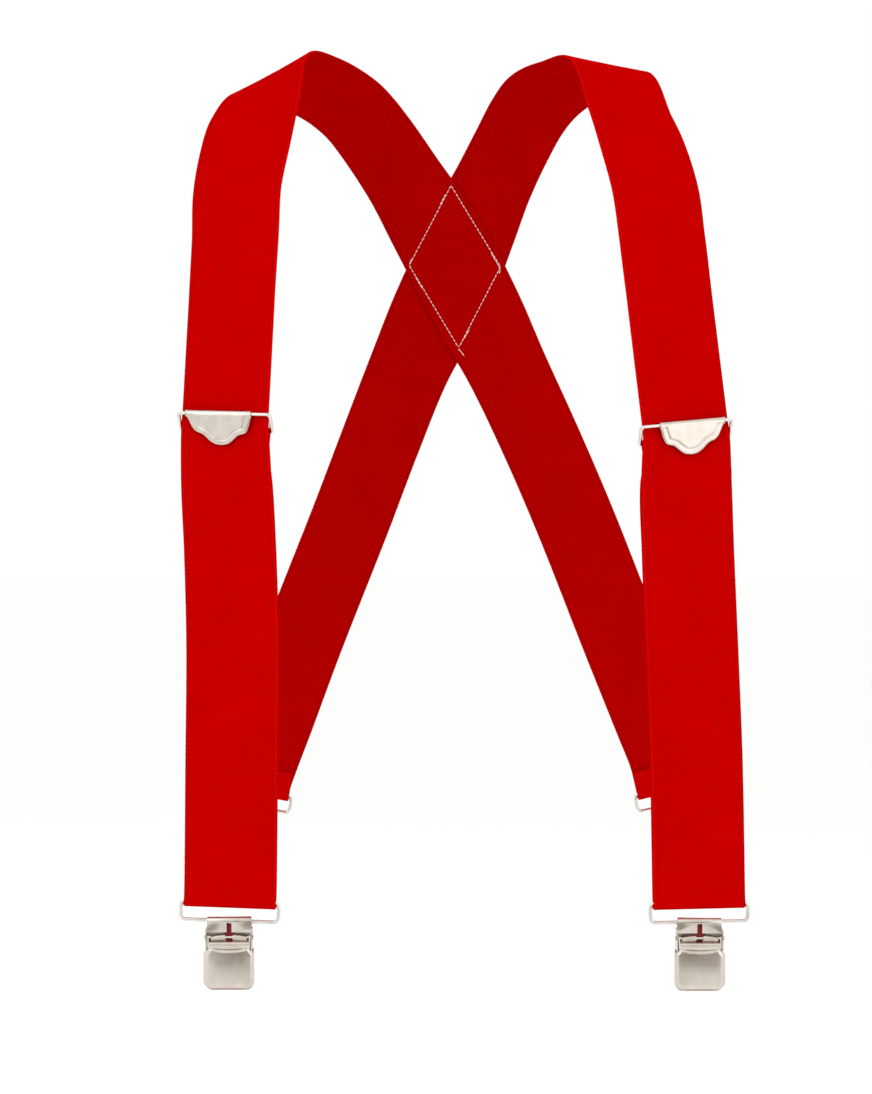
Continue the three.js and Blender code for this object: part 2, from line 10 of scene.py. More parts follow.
import bmesh
import bpy
import numpy as np
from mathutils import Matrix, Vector


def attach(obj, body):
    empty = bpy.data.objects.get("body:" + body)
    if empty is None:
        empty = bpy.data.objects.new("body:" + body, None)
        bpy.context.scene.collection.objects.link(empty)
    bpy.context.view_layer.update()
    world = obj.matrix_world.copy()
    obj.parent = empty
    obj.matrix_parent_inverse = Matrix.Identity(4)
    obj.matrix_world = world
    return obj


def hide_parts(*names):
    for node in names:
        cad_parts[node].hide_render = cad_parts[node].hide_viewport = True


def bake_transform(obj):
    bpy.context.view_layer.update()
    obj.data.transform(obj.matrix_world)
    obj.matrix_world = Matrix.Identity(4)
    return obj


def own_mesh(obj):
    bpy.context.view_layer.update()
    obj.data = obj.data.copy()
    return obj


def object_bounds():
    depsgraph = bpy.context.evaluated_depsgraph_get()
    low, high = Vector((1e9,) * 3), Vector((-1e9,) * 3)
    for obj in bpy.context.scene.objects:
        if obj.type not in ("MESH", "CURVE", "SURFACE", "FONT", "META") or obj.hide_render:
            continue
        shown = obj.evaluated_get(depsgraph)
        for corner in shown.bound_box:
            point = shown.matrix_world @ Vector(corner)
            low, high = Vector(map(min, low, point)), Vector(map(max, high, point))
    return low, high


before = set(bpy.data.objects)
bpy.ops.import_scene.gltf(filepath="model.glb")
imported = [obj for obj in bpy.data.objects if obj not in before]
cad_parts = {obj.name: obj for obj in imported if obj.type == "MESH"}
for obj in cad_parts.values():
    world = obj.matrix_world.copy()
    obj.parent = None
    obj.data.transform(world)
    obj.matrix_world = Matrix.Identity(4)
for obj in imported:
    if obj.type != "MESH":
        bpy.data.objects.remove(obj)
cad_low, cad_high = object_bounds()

MM = 0.001
scene = bpy.context.scene
print("frame", len(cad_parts), "nodes, box", [round(v, 4) for v in (*cad_low, *cad_high)])

# %% [markdown]
# ## Camera
# A long lens from chest height, level, so the straps keep nearly the same width from front to back.
# The sensor width belongs to the long side of the picture, which is its height.

# %% Camera
camera_data = bpy.data.cameras.new("camera")
camera_data.sensor_width = 36.0
camera_data.lens = 76.3
camera = bpy.data.objects.new("camera", camera_data)
camera.location = (-0.0124, -1.353, -0.270)
camera.rotation_euler = (math.radians(90), 0, 0)
scene.collection.objects.link(camera)
scene.camera = camera
scene.view_settings.view_transform = "Standard"
print("camera", camera_data.lens, "mm at", tuple(camera.location))

# %% [markdown]
# ## Stage and light
# A pale floor well below the clips, a white surround and three soft boxes. A grey card stands behind the
# camera, because polished steel shows only what stands round it: without the card its faces would be
# plain white.


# %% Colour and node helpers
def linear(code):
    """Linear RGBA of an sRGB hex code.

    A channel c is c / 12.92 below 0.04045, else ((c + 0.055) / 1.055) ** 2.4."""
    c = np.array([int(code[i:i + 2], 16) for i in (1, 3, 5)]) / 255
    c = np.where(c <= 0.04045, c / 12.92, ((c + 0.055) / 1.055) ** 2.4)
    return (*c.tolist(), 1.0)


def place(tree, kind, inputs=(), **settings):
    """Adds one node with its settings; its inputs, by name or in order, are values or sockets to link."""
    made = tree.nodes.new(kind)
    for key, value in settings.items():
        setattr(made, key, value)
    for key, value in inputs.items() if isinstance(inputs, dict) else enumerate(inputs):
        if isinstance(value, bpy.types.NodeSocket):
            tree.links.new(value, made.inputs[key])
        else:
            made.inputs[key].default_value = value
    return made


def material(name, values):
    """A Principled material with these socket values; returns the material, its tree and its shader."""
    made = bpy.data.materials.new(name)
    made.use_nodes = True
    shader = made.node_tree.nodes["Principled BSDF"]
    for key, value in values.items():
        shader.inputs[key].default_value = value
    return made, made.node_tree, shader


# %% Floor, surround and lamps
FLOOR_DROP = 0.35        # floor below the lowest clip, as the object hangs from the shoulders
CARD_Y = -2.0            # well behind the camera, and so out of every front view


def backdrop(name, corners, dark, light, scale, detail):
    """Flat staged sheet between four corners, its colour a faint mottle of two tones."""
    made, tree, shader = material(f"{name} finish", {"Roughness": 0.9})
    spot = place(tree, "ShaderNodeTexCoord").outputs["Object"]
    mottle = place(tree, "ShaderNodeTexNoise", {"Vector": spot, "Scale": scale, "Detail": detail})
    tint = place(tree, "ShaderNodeValToRGB", {"Fac": mottle.outputs["Fac"]})
    tint.color_ramp.elements[0].color = linear(dark)
    tint.color_ramp.elements[1].color = linear(light)
    tree.links.new(tint.outputs["Color"], shader.inputs["Base Color"])
    mesh = bpy.data.meshes.new(name)
    mesh.from_pydata(corners, [], [(0, 1, 2, 3)])
    mesh.materials.append(made)
    sheet = bpy.data.objects.new(name, mesh)
    scene.collection.objects.link(sheet)
    return sheet


reach, level = 40.0, cad_low.z - FLOOR_DROP
square = [(x * reach, y * reach, level) for x, y in ((-1, -1), (1, -1), (1, 1), (-1, 1))]
backdrop("floor", square, "#fbfbfa", "#ffffff", 40.0, 3.0)
card = backdrop("card", [(-.55, CARD_Y, -.8), (.8, CARD_Y, -.8), (.8, CARD_Y, -.25), (-.55, CARD_Y, -.25)],
                "#8a8177", "#948b80", 30.0, 2.0)
card.visible_camera = False

world = bpy.data.worlds.new("surround")
scene.world = world
world.use_nodes = True
sky = world.node_tree
background = sky.nodes["Background"]
background.inputs["Color"].default_value = linear("#ffffff")
background.inputs["Strength"].default_value = 1.0


def lamp(name, place_at, aim, size, power):
    """A square soft box of the given side, in metres, turned to face a point."""
    data = bpy.data.lights.new(name, "AREA")
    data.size = size
    data.energy = power
    made = bpy.data.objects.new(name, data)
    made.location = place_at
    made.rotation_euler = (Vector(aim) - Vector(place_at)).to_track_quat("-Z", "Y").to_euler()
    scene.collection.objects.link(made)
    return made


centre = (cad_low + cad_high) / 2
lamp("key", (-1.3, -2.2, 1.1), centre, 1.2, 7)
lamp("fill", (1.7, -2.0, 0.2), centre, 1.4, 4)
lamp("back", (0.6, 2.4, 1.2), centre, 1.6, 5)

# %% [markdown]
# ## Routes of the webbing
# Each strap is one flat band. Its route is a list of stations, each with a place, a turn about the vertical,
# a slope of the cross line and a share of the full width. The curve between stations is the same as the CAD
# model's, only finer, so the fine band lies exactly in the space of the plain one.

# %% Stations and sizes
STRAP_W = 50.8 * MM
STRAP_T = 1.6 * MM
CROSS_DROP = 95.5 * MM
FOLD_R = 1.75 * MM       # inside radius of the webbing's fold round a clip's loop
HEM_LEN = 14 * MM
HEM_SEAM = 8.5 * MM      # stitch row above a back fold
UNDER = 0.1019           # depth of the right strap where it passes under the left one
STEPS = 14               # rows for each station

OVER_LEFT = [
    (-.1264, -.0979, -.1983, 12, 0, .96), (-.1245, -.0949, -.158, 12, 0, .96),
    (-.1231, -.0927, -.128, 12, 0, .96), (-.1217, -.0906, -.1, 12, 0, .97),
    (-.1215, -.081, -.074, 12, 1, .99), (-.118, -.066, -.047, 10, 5, 1.02),
    (-.1145, -.047, -.025, 11, 10, 1.03), (-.107, 0, .006, 20, 24, 1), (-.088, .038, .008, 28, 30, .98),
    (-.071, .064, .003, 32, 33, .96), (-.06, .082, -.004, 28, 34, .96), (-.047, .095, -.019, 13, 34, .96),
    (-.032, .099, -.041, 4, 33, .98), (-.016, .1, -.067, 0, 32, 1.07), (0, .1, -.0955, 0, 30, 1.11),
    (.0165, .1, -.127, 0, 28.5, 1.08), (.032, .1, -.158, 0, 27, 1),
]
TAIL_LEFT = [
    (.053, .1, -.203, 0, 24, .98), (.0745, .1, -.253, 0, 23, .98), (.104, .099, -.328, 0, 22, .98),
    (.124, .098, -.378, 0, 20, .98), (.1325, .098, -.4, 0, 16, .97),
]
TAIL_LEFT_END = (.138, .097, -.4225, 0, 13, .97)
OVER_RIGHT = [
    (.1224, -.0983, -.2035, 12, 2, .96), (.1172, -.0949, -.158, 12, 2, .96),
    (.1138, -.0927, -.128, 12, 2, .96),
    (.1106, -.0906, -.1, 12, 2, .97), (.108, -.081, -.074, 12, 2, .99), (.1023, -.066, -.047, 10, 4, .99),
    (.0969, -.047, -.025, 10, 7, .98), (.088, 0, .011, 20, 6, 1), (.07, .038, .011, 30, 17, .98),
    (.053, .064, .005, 33, 29, .97), (.044, .082, -.004, 28, 33, .96),
    (.035, UNDER - .0039, -.019, 15, 32, .96), (.024, UNDER + .0001, -.041, 4, 30, .98),
    (.012, UNDER, -.067, 0, 30, 1.07), (0, UNDER, -.0955, 0, 28, 1.11),
    (-.015, UNDER, -.127, 0, 27, 1.08), (-.0293, UNDER, -.158, 0, 26, 1),
]
TAIL_RIGHT = [
    (-.047, .1, -.203, 0, 23, .98), (-.066, .1, -.253, 0, 22, .98), (-.0955, .099, -.328, 0, 21, .98),
    (-.114, .098, -.378, 0, 18, .98), (-.1225, .098, -.401, 0, 14, .97),
]
TAIL_RIGHT_END = (-.129, .097, -.4245, 0, 10, .97)
LOWER_LEFT = [
    (-.1257, -.1002, -.235, 6, 0, .98), (-.1238, -.1, -.273, 2, 0, .98), (-.1225, -.1, -.3226, 0, 0, .98),
    (-.123, -.1, -.3871, 0, -1, .98),
]
LOWER_LEFT_END = (-.124, -.1, -.4654, 0, -2.2, .98)
LOWER_RIGHT = [
    (.123, -.1002, -.235, 6, 0, .98), (.124, -.1, -.273, 2, 0, .98), (.126, -.1, -.3226, 0, 0, .98),
    (.1285, -.1, -.3871, 0, -.5, .98),
]
LOWER_RIGHT_END = (.13, -.1, -.466, 0, -1.4, .98)
SIDES = {  # side is +1 where the outer edge is towards -X
    "left": dict(side=1, over=OVER_LEFT, tail=TAIL_LEFT, end=TAIL_LEFT_END, lower=LOWER_LEFT,
                 fold=LOWER_LEFT_END, back="right_back"),
    "right": dict(side=-1, over=OVER_RIGHT, tail=TAIL_RIGHT, end=TAIL_RIGHT_END, lower=LOWER_RIGHT,
                  fold=LOWER_RIGHT_END, back="left_back"),
}
print(len(OVER_LEFT) + len(TAIL_LEFT), "stations on each long strap")


# %% Curve through the stations
def unit(v):
    """v, or each row of v, divided by its length."""
    v = np.asarray(v, float)
    return v / np.linalg.norm(v, axis=-1, keepdims=True)


def through(stations, steps=STEPS):
    """Cubic through the stations, spaced by the square root of their distance (centripetal Catmull-Rom).

    With p1, p2 a span's ends and m1, m2 their tangents, a row is
    p1 + m1 t + (3 (p2 - p1) - 2 m1 - m2) t^2 + (2 (p1 - p2) + m1 + m2) t^3, for every column at once."""
    s = np.asarray(stations, float)
    p = np.vstack([2 * s[0] - s[1], s, 2 * s[-1] - s[-2]])
    d = np.sqrt(np.linalg.norm(np.diff(p[:, :3], axis=0), axis=1))[:, None]
    p0, p1, p2, p3 = p[:-3], p[1:-2], p[2:-1], p[3:]
    d0, d1, d2 = d[:-2], d[1:-1], d[2:]
    m1 = d1 * ((p1 - p0) / d0 - (p2 - p0) / (d0 + d1) + (p2 - p1) / d1)
    m2 = d1 * ((p2 - p1) / d1 - (p3 - p1) / (d1 + d2) + (p3 - p2) / d2)
    t = (np.arange(steps) / steps)[None, :, None]
    p1, p2, m1, m2 = (a[:, None, :] for a in (p1, p2, m1, m2))
    rows = p1 + m1 * t + (3 * (p2 - p1) - 2 * m1 - m2) * t**2 + (2 * (p1 - p2) + m1 + m2) * t**3
    return np.vstack([rows.reshape(-1, s.shape[1]), s[-1]])


def cross_line(rows, side):
    """From the outer edge to the inner one: side (cos turn cos slope), -sin turn cos slope, sin slope."""
    turn, slope = np.radians(rows[..., 3]), np.radians(rows[..., 4])
    return np.stack([side * np.cos(turn) * np.cos(slope), -np.sin(turn) * np.cos(slope), np.sin(slope)], -1)


def moved(row, v):
    """A station shifted by a vector."""
    row = np.array(row, float)
    row[:3] += v
    return row


def down_from(end, side):
    """Direction down the webbing at a fold, square to its cross line."""
    a = math.radians(end[4])
    return np.array([side * math.sin(a), 0, -math.cos(a)])


def to_bar(end, side):
    """Two stations that bring the webbing straight down to the height of the bar in its fold."""
    down = down_from(end, side)
    at = moved(end, -down * (FOLD_R + STRAP_T))
    return moved(at, -down * 6 * MM), at


def half_turn(at, depth, side, steps=12):
    """Half circle round a bar behind (+1) or before (-1) the outer layer, its first row left out."""
    a = np.pi * np.arange(1, steps + 1) / steps
    radius = FOLD_R + STRAP_T / 2
    rows = np.tile(np.asarray(at, float), (steps, 1))
    rows[:, :3] += radius * np.sin(a)[:, None] * down_from(at, side)
    rows[:, 1] += depth * radius * (1 - np.cos(a))
    return rows


print("left strap has", len(through(OVER_LEFT + TAIL_LEFT)), "rows")

# %% [markdown]
# ## Band of webbing
# Woven elastic is a flat strip with round selvedges. Its section is a long rounded slot, carried along
# the route. The band keeps its own map: across the strip in one direction, along the thread in the other,
# both in metres, so the weave follows every bend at its true size.

# %% Mesh helpers
FACE_POINTS = 18         # across one face of the webbing
EDGE_POINTS = 5          # round one selvedge
EDGE_R = STRAP_T / 2


def outward(points, faces):
    """The faces, turned round if the volume that they enclose, a sum of triple products, is negative."""
    faces = np.asarray(faces)
    a, b, c = (points[faces[:, k]] for k in (0, 1, 2))
    volume = np.einsum("ij,ij->i", a, np.cross(b, c)).sum()
    if faces.shape[1] == 4:
        volume += np.einsum("ij,ij->i", a, np.cross(c, points[faces[:, 3]])).sum()
    return volume >= 0


def solid(name, points, faces, finish, caps=(), uv=None, flip=None, smooth=True):
    """One mesh object from points and quads, with optional end caps and a map for each quad corner."""
    points = np.asarray(points, float)
    turned = not outward(points, faces) if flip is None else flip
    quads = faces[:, ::-1] if turned else faces
    polygons = quads.tolist() + [list(c)[::-1] if turned else list(c) for c in caps]
    mesh = bpy.data.meshes.new(name)
    mesh.from_pydata(points.tolist(), [], polygons)
    if uv is not None:
        corners = (uv[:, ::-1] if turned else uv).reshape(-1, 2)
        at_caps = uv.reshape(-1, 2)[:1].repeat(sum(len(c) for c in caps), 0)
        layer = mesh.uv_layers.new(name="weave")
        layer.data.foreach_set("uv", np.vstack([corners, at_caps]).astype(np.float32).ravel())
    mesh.polygons.foreach_set("use_smooth", [smooth] * len(mesh.polygons))
    mesh.set_sharp_from_angle(angle=math.radians(60))
    mesh.update()
    made = bpy.data.objects.new(name, mesh)
    made.data.materials.append(finish)
    scene.collection.objects.link(made)
    return made


def quads_of(rows, cols, ring_rows=False):
    """Quads of a tube whose columns close on themselves, with each corner's row and unwrapped column."""
    i, j = np.meshgrid(np.arange(rows if ring_rows else rows - 1), np.arange(cols), indexing="ij")
    i, j = i.ravel()[:, None] + np.array([0, 0, 1, 1]), j.ravel()[:, None] + np.array([0, 1, 1, 0])
    return (i % rows) * cols + j % cols, i, j


def strip_section():
    """Section of the webbing: share of the flat half width, and parts of the edge radius sideways and out.

    Outer face from -1 to 1, half circle round the edge, inner face back, half circle. The last column is the
    way round so far, in metres, for a strip of full width."""
    flat = np.linspace(-1, 1, FACE_POINTS)
    arc = np.pi * np.arange(1, EDGE_POINTS) / EDGE_POINTS
    share = np.concatenate([flat, np.ones(EDGE_POINTS - 1), -flat, -np.ones(EDGE_POINTS - 1)])
    wide = np.concatenate([0 * flat, np.sin(arc), 0 * flat, -np.sin(arc)])
    out = np.concatenate([0 * flat + 1, np.cos(arc), 0 * flat - 1, -np.cos(arc)])
    half = STRAP_W / 2 - EDGE_R
    x, y = share * half + wide * EDGE_R, out * EDGE_R
    way = np.concatenate([[0], np.cumsum(np.hypot(np.diff(x), np.diff(y)))])
    way = np.append(way, way[-1] + math.hypot(x[0] - x[-1], y[0] - y[-1]))
    return share, wide, out, way


def frame_of(rows, side):
    """Directions along, across and out of the webbing at each row."""
    mid = rows[:, :3]
    along = np.vstack([mid[1] - mid[0], mid[2:] - mid[:-2], mid[-1] - mid[-2]])
    along = unit(along)
    across = cross_line(rows, side)
    across = unit(across - np.einsum("ij,ij->i", across, along)[:, None] * along)
    return along, across, np.cross(across, along) * side


def band(name, rows, side, finish, first=0, last=None, face=1):
    """The section carried along rows first to last, with both ends closed; returns the object and its length.

    face is -1 where the rows run down the front, so that the same face of the weave stays outside."""
    share, wide, out, way = strip_section()
    out = out * face
    _, across, outer = frame_of(rows, side)
    steps = np.linalg.norm(np.diff(rows[:, :3], axis=0), axis=1)
    length = np.concatenate([[0], np.cumsum(steps)])
    kept = slice(first, None if last is None else last + 1)
    rows, across, outer, length = rows[kept], across[kept], outer[kept], length[kept]
    half = (0.5 * STRAP_W * rows[:, 5] - EDGE_R)[:, None]
    a = share * half + wide * EDGE_R
    crown = 1 + 0.05 * np.clip((np.abs(share) - 0.9) / 0.1, 0, 1)
    o = np.broadcast_to(out * EDGE_R * crown, a.shape)
    points = rows[:, None, :3] + a[..., None] * across[:, None, :] + o[..., None] * outer[:, None, :]
    cols = len(share)
    faces, i, j = quads_of(len(rows), cols)
    uv = np.stack([way[j], length[i]], -1)
    flat = points.reshape(-1, 3)
    caps = [range(cols - 1, -1, -1), range((len(rows) - 1) * cols, len(rows) * cols)]
    return solid(name, flat, faces, finish, caps, uv), length[-1] - length[0]


print("section of", len(strip_section()[0]), "points")

# %% [markdown]
# ## Finish: woven elastic
# Polyester yarn woven over rubber threads. The outer face is a bright red plain weave whose binding
# threads show as small dark specks in staggered rows; the inner face is a deeper red with slanting twill
# ribs. The selvedges are denser and brighter, with a column of small stitches just inside. The pattern
# reads the band's own map, in metres.

# %% Woven elastic
SPECK_ACROSS = 2.2 * MM      # the real threads are about 0.8 mm apart; drawn coarser so that they show
SPECK_ALONG = 2.6 * MM
RIB_PITCH = 2.2 * MM         # across the twill ribs of the inner face
SELVEDGE = 1.7 * MM
FACE_W = STRAP_W - 2 * EDGE_R
ROUND = math.pi * EDGE_R     # way round one selvedge
FULL_TURN = 2 * math.pi
MATH = "ShaderNodeMath"
MIX = "ShaderNodeMix"


def woven_elastic():
    """Red webbing: the map's first number picks the face, the distance from the edge picks the selvedge.

    With middle the distance from the centre line, specks are cos(middle) cos(along) plus noise, cut at a
    level; ribs are a cosine of 0.8 middle + 0.6 along."""
    made, tree, shader = material("woven elastic, red polyester", {
        "Roughness": 0.85, "Specular IOR Level": 0.0})
    way = place(tree, "ShaderNodeUVMap", uv_map="weave").outputs[0]
    parts = place(tree, "ShaderNodeSeparateXYZ", [way])
    across, along = parts.outputs[0], parts.outputs[1]
    inner = place(tree, MATH, [across, FACE_W + ROUND / 2], operation="GREATER_THAN").outputs[0]
    jump = place(tree, MATH, [inner, FACE_W + ROUND, FACE_W / 2],
                 operation="MULTIPLY_ADD").outputs[0]
    middle = place(tree, MATH, [across, jump], operation="SUBTRACT").outputs[0]
    off = place(tree, MATH, [middle], operation="ABSOLUTE").outputs[0]
    edge = place(tree, MATH, [FACE_W / 2 + EDGE_R, off], operation="SUBTRACT").outputs[0]
    angle_a = place(tree, MATH, [middle, FULL_TURN / SPECK_ACROSS], operation="MULTIPLY").outputs[0]
    angle_b = place(tree, MATH, [along, FULL_TURN / SPECK_ALONG], operation="MULTIPLY").outputs[0]
    wave_a = place(tree, MATH, [angle_a], operation="COSINE").outputs[0]
    wave_b = place(tree, MATH, [angle_b], operation="COSINE").outputs[0]
    noise = place(tree, "ShaderNodeTexNoise", {"Vector": way, "Scale": 700.0, "Detail": 2.0}).outputs["Fac"]
    checks = place(tree, MATH, [wave_a, wave_b, noise], operation="MULTIPLY_ADD").outputs[0]
    above = place(tree, MATH, [checks, 0.85], operation="SUBTRACT").outputs[0]
    speck = place(tree, MATH, [above, 2.0], operation="MULTIPLY", use_clamp=True).outputs[0]
    slant = place(tree, MATH, [along, 0.6 / 0.8, middle], operation="MULTIPLY_ADD").outputs[0]
    turn = place(tree, MATH, [slant, 0.8 * FULL_TURN / RIB_PITCH], operation="MULTIPLY").outputs[0]
    wave = place(tree, MATH, [turn], operation="COSINE").outputs[0]
    rib = place(tree, MATH, [wave, 0.5, noise], operation="MULTIPLY_ADD",
                use_clamp=True).outputs[0]
    selvedge = place(tree, MATH, [edge, SELVEDGE], operation="LESS_THAN").outputs[0]
    seam_at = place(tree, MATH, [edge, SELVEDGE + 0.3 * MM, 0.35 * MM],
                    operation="COMPARE").outputs[0]
    lit = place(tree, MATH, [wave_b, 0.0], operation="GREATER_THAN").outputs[0]
    dot = place(tree, MATH, [seam_at, lit], operation="MULTIPLY").outputs[0]
    cloud = place(tree, "ShaderNodeTexNoise", {"Vector": way, "Scale": 35.0, "Detail": 2.0}).outputs["Fac"]
    weights = {"speck": (speck, 0.4), "selvedge": (selvedge, 0.5), "rib": (rib, 0.32), "dot": (dot, 0.5)}
    share = {k: place(tree, MATH, [socket, most], operation="MULTIPLY").outputs[0]
             for k, (socket, most) in weights.items()}
    plain = place(tree, MIX, {0: cloud, 6: linear("#bd0000"), 7: linear("#cd0000")},
                  data_type="RGBA")
    flecked = place(tree, MIX, {0: share["speck"], 6: plain.outputs[2], 7: linear("#740000")},
                    data_type="RGBA")
    edged = place(tree, MIX, {0: share["selvedge"], 6: flecked.outputs[2], 7: linear("#d80202")},
                  data_type="RGBA")
    deep = place(tree, MIX, {0: cloud, 6: linear("#ae0000"), 7: linear("#bf0000")},
                 data_type="RGBA")
    ribbed = place(tree, MIX, {0: share["rib"], 6: deep.outputs[2], 7: linear("#800000")},
                   data_type="RGBA")
    both = place(tree, MIX, {0: inner, 6: edged.outputs[2], 7: ribbed.outputs[2]},
                 data_type="RGBA")
    red = place(tree, MIX, {0: share["dot"], 6: both.outputs[2], 7: linear("#740000")},
                data_type="RGBA")
    low_speck = place(tree, MATH, [1.0, speck], operation="SUBTRACT").outputs[0]
    low_rib = place(tree, MATH, [1.0, rib], operation="SUBTRACT").outputs[0]
    relief = place(tree, MIX, {0: inner, 2: low_speck, 3: low_rib}, data_type="FLOAT").outputs[0]
    bump = place(tree, "ShaderNodeBump", {"Strength": 0.5, "Distance": 0.12 * MM, "Height": relief})
    tree.links.new(red.outputs[2], shader.inputs["Base Color"])
    tree.links.new(bump.outputs[0], shader.inputs["Normal"])
    return made


webbing = woven_elastic()
print("weave of", SPECK_ACROSS / MM, "by", SPECK_ALONG / MM, "mm")

# %% [markdown]
# ## The long straps
# A strap leaves the adjuster, climbs over the shoulder, crosses the back and ends in a fold round the
# back clip's wire, sewn down as a hem. On the real object this is one length of webbing. Here the short
# run above the adjuster is a piece of its own, because the adjuster slides up it and the run shortens.


# %% Long straps
def eased(t):
    """Smooth step, 3 t^2 - 2 t^3, of t held between 0 and 1."""
    t = np.clip(t, 0, 1)
    return t * t * (3 - 2 * t)


def hem_rows(start, down, close, length, steps=10):
    """Rows from the end of a fold up to the raw edge, drawn against the outer layer over the first 7 mm."""
    s = length * np.arange(1, steps + 1) / steps
    rows = np.tile(np.asarray(start, float), (steps, 1))
    rows[:, :3] -= s[:, None] * down
    rows[:, 1] += close * eased(s / (7 * MM))
    return rows


RUN_ROWS = 2 * STEPS     # the run above the adjuster ends at the third station
long_rows = {}
for name, part in SIDES.items():
    side, end = part["side"], part["end"]
    bottom = to_bar(end, side)
    outer = through([*part["over"], *part["tail"], *bottom])
    turn = half_turn(bottom[1], -1, side)
    down = down_from(end, side)
    hem = hem_rows(turn[-1], down, 2 * (FOLD_R + STRAP_T / 2) - STRAP_T - 0.4 * MM, HEM_LEN)
    rows = np.vstack([outer, turn, hem])
    long_rows[name] = rows
    run, run_length = band(f"{name}_strap_run", rows, side, webbing, last=RUN_ROWS)
    strap, length = band(f"{name}_strap", rows, side, webbing, first=RUN_ROWS)
    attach(run, "straps")
    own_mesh(run)
    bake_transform(strap)
    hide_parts(f"{name}_shoulder_webbing", f"{part['back']}_tail_webbing")
    print(name, "strap", round(run_length + length, 3), "m with its hem")

# %% [markdown]
# ## Adjusters and clips: where they sit
# Each piece of steel is made in its fitting's own frame, X along the bar, Y back and Z up, and then
# carried to its place. The frames are worked out from the webbing, as they are on the CAD side.


# %% Frames of the fittings
ADJ_FRONT_Y = -3.1 * MM
ADJ_REAR_Y = 4.05 * MM
ADJ_REAR_Z = -9 * MM
ADJ_FOLD_R = 1.35 * MM   # inside radius of the hem round the rear bar
LOOP_DROP = 10.3 * MM


def axes(origin, x, z):
    """4 x 4 matrix with X along the bar, Z up the webbing and Y backwards."""
    x, y = unit(x), unit(np.cross(z, x))
    m = np.eye(4)
    m[:3, :4] = np.stack([x, y, np.cross(x, y), origin], 1)
    return m


def carried(points, m):
    """Points moved by a 4 x 4 matrix."""
    return np.asarray(points, float) @ m[:3, :3].T + m[:3, 3]


def adjuster_frame(row, ahead, side):
    """Frame of an adjuster: Z runs up the webbing and X lies across it."""
    up = unit(np.array(ahead[:3]) - np.array(row[:3]))
    x = cross_line(np.array(row, float), side) * side
    return axes(np.array(row[:3]), unit(x - x.dot(up) * up), up)


def loop_frame(end, side, depth):
    """Frame of a wire loop: origin on its upper bar, Z up the webbing."""
    down = down_from(end, side)
    bar = to_bar(end, side)[1][:3] + np.array([0, depth * (FOLD_R + STRAP_T / 2), 0])
    return axes(bar, -np.cross(down, [0, 1, 0]), -down)


def clip_frame(end, side, depth):
    """Frame of a clip: origin on the loop's lower bar; a clip on a nearly level loop hangs plumb."""
    loop = loop_frame(end, side, depth)
    low = loop[:3, 3] - loop[:3, 2] * LOOP_DROP
    hung = np.array([0, 0, 1.0]) if abs(end[4]) < 5 else loop[:3, 2]
    return axes(low, np.cross([0, depth, 0], hung), hung)


adjusters = {n: adjuster_frame(p["over"][0], p["over"][1], p["side"]) for n, p in SIDES.items()}
loops, clips = {}, {}
for name, part in SIDES.items():
    for where, end, depth in ((f"{name}_front", part["fold"], 1), (part["back"], part["end"], -1)):
        loops[where] = loop_frame(end, part["side"], depth)
        clips[where] = clip_frame(end, part["side"], depth)
print("clips at", {n: (m[:3, 3] / MM).round(1).tolist() for n, m in clips.items()})

# %% [markdown]
# ## The doubled lower webbing
# Below the adjuster the webbing runs down in front, folds round the clip's wire, runs back up behind and is
# hemmed round the adjuster's rear bar. It is one band again, carried along down, round, up and round.


# %% Lower webbing
for name, part in SIDES.items():
    side, end, lower = part["side"], part["fold"], part["lower"]
    m = adjusters[name]
    at = lambda y, z: carried([[0, y, z]], m)[0]
    bar = m[:3, 0] * side
    slope = math.asin(bar[2])
    lay = (-math.degrees(math.asin(bar[1] / math.cos(slope))), math.degrees(slope))
    radius = FOLD_R + STRAP_T / 2
    tip_r = ADJ_FOLD_R + STRAP_T / 2
    first = [(*at(0, 0), *lay, .96), (*at(0, -6.1 * MM), *lay, .97)]
    bottom = to_bar(end, side)
    turn = half_turn(bottom[1], 1, side)
    rear_y, hem_y = ADJ_REAR_Y + tip_r, ADJ_REAR_Y - tip_r
    lap = hem_y + STRAP_T + 0.3 * MM
    back = [(r[0], r[1] + (lap + 0.3 * MM if k == 0 else 2 * radius), *r[2:]) for k, r in enumerate(lower)]
    inner = [turn[-1], moved(bottom[0], (0, 2 * radius, 0)), *back[::-1],
             (*at(lap + 0.1 * MM, ADJ_REAR_Z - HEM_LEN - 2 * MM), *lay, .97),
             (*at(rear_y, ADJ_REAR_Z), *lay, .95)]
    a = np.pi * np.arange(1, 13) / 12
    ring = carried(np.stack([0 * a, ADJ_REAR_Y + tip_r * np.cos(a), ADJ_REAR_Z + tip_r * np.sin(a)], 1), m)
    s = np.arange(1, 9) / 8
    flap = carried(np.stack([0 * s, 0 * s + hem_y, ADJ_REAR_Z - HEM_LEN * s], 1), m)
    hem = np.hstack([np.vstack([ring, flap]), np.tile([*lay, .95], (20, 1))])
    rows = np.vstack([through([*first, *lower, *bottom]), turn[:-1], through(inner), hem])
    lower_band, length = band(f"{name}_lower_webbing", rows, side, webbing, face=-1)
    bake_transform(lower_band)
    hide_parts(f"{name}_front_lower_webbing")
    print(name, "lower webbing", round(length, 3), "m")

# %% [markdown]
# ## Stitches
# Every stitch is its own short arch of white thread, sunk into the cloth at both ends. One arch is worked
# out once and then set along the seam, so a seam is one mesh of a few dozen small arches. The diamond
# that joins the straps doubles back near its corners, as a sewing machine locks its thread.

# %% Thread finish and stitches
THREAD_R = 0.24 * MM
STITCH_PITCH = 2.8 * MM

